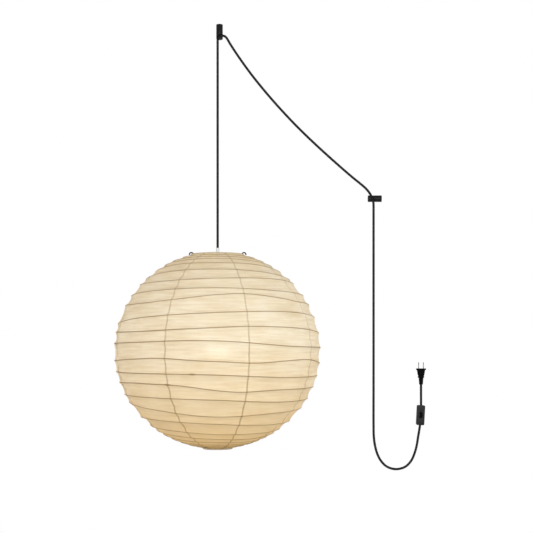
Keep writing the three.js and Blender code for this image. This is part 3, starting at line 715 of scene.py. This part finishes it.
def make_strip(number):
    turns = [t + steps / STEPS_PER_TURN + FIRST_SEAM / 360 for t, steps in SPLICES]
    first, last = turns[number], turns[number + 1]
    count = round((last - first) * STRIP_POINTS_PER_TURN)
    line, radii = [], []
    for i in range(count + 1):
        turn = first + (last - first) * i / count
        line.append(globe_point(turn * 2 * math.pi, latitude(spiral_height(turn)), RIB_DEPTH))
        radii.append(BAMBOO_R * (1 - 0.12 * noise.noise(Vector((turn * 9, 0.3, 0)))))
    return tube(
        f"bamboo_strip_{number + 1}", line, radii, "bamboo", "shade", [f"shade_rib_strip_{number + 1}"],
        sides=8, sideways=(0, 0, 1),
    )


strips = [make_strip(i) for i in range(len(SPLICES) - 1)]
for piece in gores + strips:
    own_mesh(piece)

for name, ring, body, wire_node in (
    ("top", TOP_RING, "top_ring", "shade_top_ring"), ("bottom", BOTTOM_RING, "shade", "shade_bottom_ring"),
):
    circle = [
        CENTRE + Vector((ring["r"] * math.sin(a), -ring["r"] * math.cos(a), ring["z"]))
        for a in (2 * math.pi * i / 96 for i in range(96))
    ]
    tube(f"{name}_ring_wire", circle, WIRE_RING_R, "frame_wire", body, [wire_node], sides=12, closed=True,
         sideways=(0, 0, 1))
    sign = 1 if ring["z"] > 0 else -1
    r, z = ring["r"] / MM, ring["z"] / MM
    section = [(2.6, -3.0), (2.35, -1.6), (1.95, 0.2), (1.5, 1.2), (0.5, 1.75), (-0.7, 1.65), (-1.6, 0.9),
               (-1.75, -0.4), (-1.75, -1.9), (-1.5, -1.9), (-1.5, -0.4), (-1.35, 0.7), (-0.6, 1.4),
               (0.4, 1.5), (1.3, 0.95), (1.7, 0.1), (2.1, -1.6), (2.35, -3.0)]
    profile = [(r + out, z + sign * up) for out, up in section]
    lathe(f"{name}_hem", profile, CENTRE, "hem", body, [f"shade_{name}_hem"], 96, closed=True)

# ---- Wire frame, hooks, lamp and fittings ----
ARM_ROUTE = [
    (75.4, 257.4), (74.6, 261), (70.4, 262.8), (66, 261), (64.4, 255), (63.3, 248), (61.5, 232), (58, 160),
    (50, 20), (42, -120), (34.6, -238), (34.2, -248), (35.4, -253.6), (38.4, -256),
]
for side, sign in (("left", -1), ("right", 1)):
    points = [CENTRE + Vector((sign * x * MM, 0, z * MM)) for x, z in ARM_ROUTE]
    tube(f"wire_arm_{side}", smooth_route(points, 3 * MM), WIRE_ARM_R, "frame_wire", "shade",
         [f"frame_arm_{side}"], sides=14)

# Each of these is the CAD part with its edges rounded over: node, piece, slot, body and bevel.
EASED = [
    ("ceiling_hook_body", "ceiling_hook_turned", "black_metal", "fixings", 0.45),
    ("wall_hook_body", "wall_hook_turned", "black_metal", "fixings", 0.45),
    ("switch_case_front", "switch_front_shell", "moulded_black", "fixings", 0.3),
    ("switch_case_back", "switch_back_shell", "moulded_black", "fixings", 0.3),
    ("switch_rocker", "switch_rocker_cap", "rocker_black", "rocker", 0.9),
    ("frame_top_bar", "wire_top_bar", "frame_wire", "shade", 0.25),
    ("frame_bottom_bar", "wire_bottom_bar", "frame_wire", "shade", 0.3),
]
eased_pieces = {
    piece: eased(node, piece, slot, body, bevel * MM) for node, piece, slot, body, bevel in EASED
}

# The plug is a flattened turning: round shoulders, a collar, and a flange behind the blades.
PLUG_PROFILE = [
    (0, -25.4), (6.4, -25.4), (7.2, -25.2), (8.2, -24.2), (8.9, -23.2), (9, -22.4), (8.7, -21.8),
    (7.8, -21), (7.6, -20.6), (7.6, -19.8), (7.9, -19.2), (8.8, -17.9), (9.1, -17.2), (9.9, -11),
    (10.5, -7.6), (11.1, -5), (11.6, -4.2), (12.9, -4), (13.3, -3.6), (13.3, -0.5), (12.8, 0), (0, 0),
]
RELIEF_PROFILE = [
    (3.3, -43), (4.1, -43), (4.8, -42.5), (5.1, -41.9), (5.3, -40.5), (5.5, -38), (5.35, -37.6),
    (5.35, -36.6), (5.6, -36.2), (5.75, -33.8), (5.6, -33.4), (5.6, -32.4), (5.9, -32), (6.05, -29.6),
    (5.9, -29.2), (5.9, -28.2), (6.2, -27.8), (6.3, -27.2), (6, -25.8), (5.6, -25.4), (3.3, -25.4),
]
PLUG_FLATNESS = 0.62  # front to back
plug_place = (PLUG["x"], 0, PLUG["z"])
plug_shell = lathe(
    "plug_moulding", PLUG_PROFILE, plug_place, "moulded_black", "fixings", ["plug_body"], flat=PLUG_FLATNESS,
)
plug_relief = lathe(
    "plug_tail", RELIEF_PROFILE, plug_place, "moulded_black", "fixings", ["plug_strain_relief"], 48,
    closed=True,
)
plug_black = grained_material(
    "plug_black", rgb(0.001, 0.001, 0.001), rgb(0.002, 0.002, 0.002), 0.5, 1500.0, 0.04 * MM,
    **{"Specular IOR Level": 0.05})
for piece in (plug_shell, plug_relief):
    piece.data.materials[0] = plug_black
blades = [
    eased(f"plug_blade_{side}", f"plug_pin_{side}", "nickel", "fixings", 0.2 * MM)
    for side in ("left", "right")
]

# Nylon grip, bulb and lamp holder, turned with softer edges than the CAD.
GRIP_PROFILE = [
    (6, 226), (6.4, 226.3), (6.5, 226.9), (6.5, 242.6), (6.9, 243.2), (9.3, 243.2), (9.8, 243.5), (10, 244),
    (10, 245.4), (9.7, 246), (9.2, 246.2), (5.6, 246.2), (5.1, 246.5), (5, 247), (5, 273.6), (4.7, 274.5),
    (4.1, 275), (3.6, 275), (3.4, 274.6), (3.4, 226.4), (3.7, 226),
]
lathe("grip_turned", GRIP_PROFILE, CENTRE, "nylon", "lamp", ["cord_grip"], 48, closed=True)
DOME_R = 30
dome_profile = [
    (DOME_R * math.sin(a), 6 - DOME_R * math.cos(a)) for a in (math.radians(d) for d in range(0, 106, 5))
]
dome_profile += [(27.9, 13.6), *((r * 0.96, 6 + (z - 6) * 0.96) for r, z in dome_profile[-3::-1])]
lathe("opal_dome", dome_profile, CENTRE, "diffuser", "bulb", ["bulb_dome"], 64)
HOUSING_PROFILE = [
    (28.6, 14.6), (28.9, 15), (28.4, 18), (26, 26), (22.6, 33.6), (19, 42), (16.2, 47), (14.5, 51),
    (13.5, 54), (13.3, 55.2), (13, 55.5), (11.5, 55.5), (12.8, 50), (17.3, 41), (24.3, 25.5), (27.2, 14.6),
]
lathe("bulb_collar", HOUSING_PROFILE, CENTRE, "bulb_white", "bulb", ["bulb_housing"], 64, closed=True)
CAP_PROFILE = [
    (19.2, 97.5), (19.5, 97.8), (19.5, 103), (19.1, 104.8), (18, 108), (16.3, 111.8), (13.4, 114.8),
    (9.6, 117.4), (8.2, 118.8), (7.5, 121), (7.1, 123.6), (6.7, 124), (3.8, 124), (3.5, 123.6), (3.5, 116),
    (14.5, 110), (17.2, 102.5), (17.2, 97.5),
]
lathe("holder_shell", CAP_PROFILE, CENTRE, "moulded_black", "lamp", ["holder_cap"], 64, closed=True)

# ---- Lights and floor ----
FLOOR_R = 1.3
FLOOR_MIDDLE = (0.2, 0, -1.85)
floor_mesh = bpy.data.meshes.new("floor")
shape = bmesh.new()
bmesh.ops.create_circle(
    shape, cap_ends=True, radius=FLOOR_R, segments=96, matrix=Matrix.Translation(FLOOR_MIDDLE),
)
shape.to_mesh(floor_mesh)
shape.free()
floor = bpy.data.objects.new("floor", floor_mesh)
floor_mesh.materials.append(grained_material(
    "pale_floor", rgb(0.62, 0.60, 0.56), rgb(0.59, 0.57, 0.53), 0.8, 40.0, 0.1 * MM,
))
bpy.context.collection.objects.link(floor)


def studio_world(name):
    """White all round the horizon, warm and dimmer overhead and below."""
    world = bpy.data.worlds.new(name)
    world.use_nodes = True
    tree = world.node_tree
    background = tree.nodes["Background"]
    direction = tree.nodes.new("ShaderNodeTexCoord")
    split = tree.nodes.new("ShaderNodeSeparateXYZ")
    ramp = tree.nodes.new("ShaderNodeValToRGB")
    shift = tree.nodes.new("ShaderNodeMath")
    shift.operation = "MULTIPLY_ADD"
    shift.inputs[1].default_value = 0.5
    shift.inputs[2].default_value = 0.5
    stops = [(0.0, (0.45, 0.43, 0.4)), (0.22, (0.62, 0.6, 0.57)), (0.39, (1, 1, 1)), (0.7, (1, 1, 1)),
             (0.82, (0.75, 0.74, 0.72)), (1.0, (0.6, 0.58, 0.55))]
    while len(ramp.color_ramp.elements) < len(stops):
        ramp.color_ramp.elements.new(0.5)
    for element, (position, colour) in zip(ramp.color_ramp.elements, stops):
        element.position = position
        element.color = (*colour, 1.0)
    tree.links.new(direction.outputs["Generated"], split.inputs[0])
    tree.links.new(split.outputs[2], shift.inputs[0])
    tree.links.new(shift.outputs[0], ramp.inputs[0])
    tree.links.new(ramp.outputs[0], background.inputs["Color"])
    background.inputs["Strength"].default_value = 1.0
    return world


bpy.context.scene.world = studio_world("studio")
bpy.context.scene.view_settings.view_transform = "Standard"
bpy.context.scene.view_settings.look = "None"


def softbox(name, place_at, look_at, size, power, colour):
    light = bpy.data.lights.new(name, "AREA")
    light.shape = "DISK"
    light.size = size
    light.energy = power
    light.color = colour
    lamp = bpy.data.objects.new(name, light)
    lamp.location = place_at
    lamp.rotation_euler = (Vector(look_at) - Vector(place_at)).to_track_quat("-Z", "Y").to_euler()
    bpy.context.collection.objects.link(lamp)


softbox("key", (0.5, -2.4, -0.4), tuple(CENTRE), 0.9, 24, (0.97, 1.0, 0.95))
softbox("right", (2.0, -1.2, -0.3), tuple(CENTRE), 1.0, 7, (0.75, 0.87, 1.0))
softbox("left", (-1.9, -1.3, -0.8), tuple(CENTRE), 1.0, 3, (1.0, 0.8, 0.7))
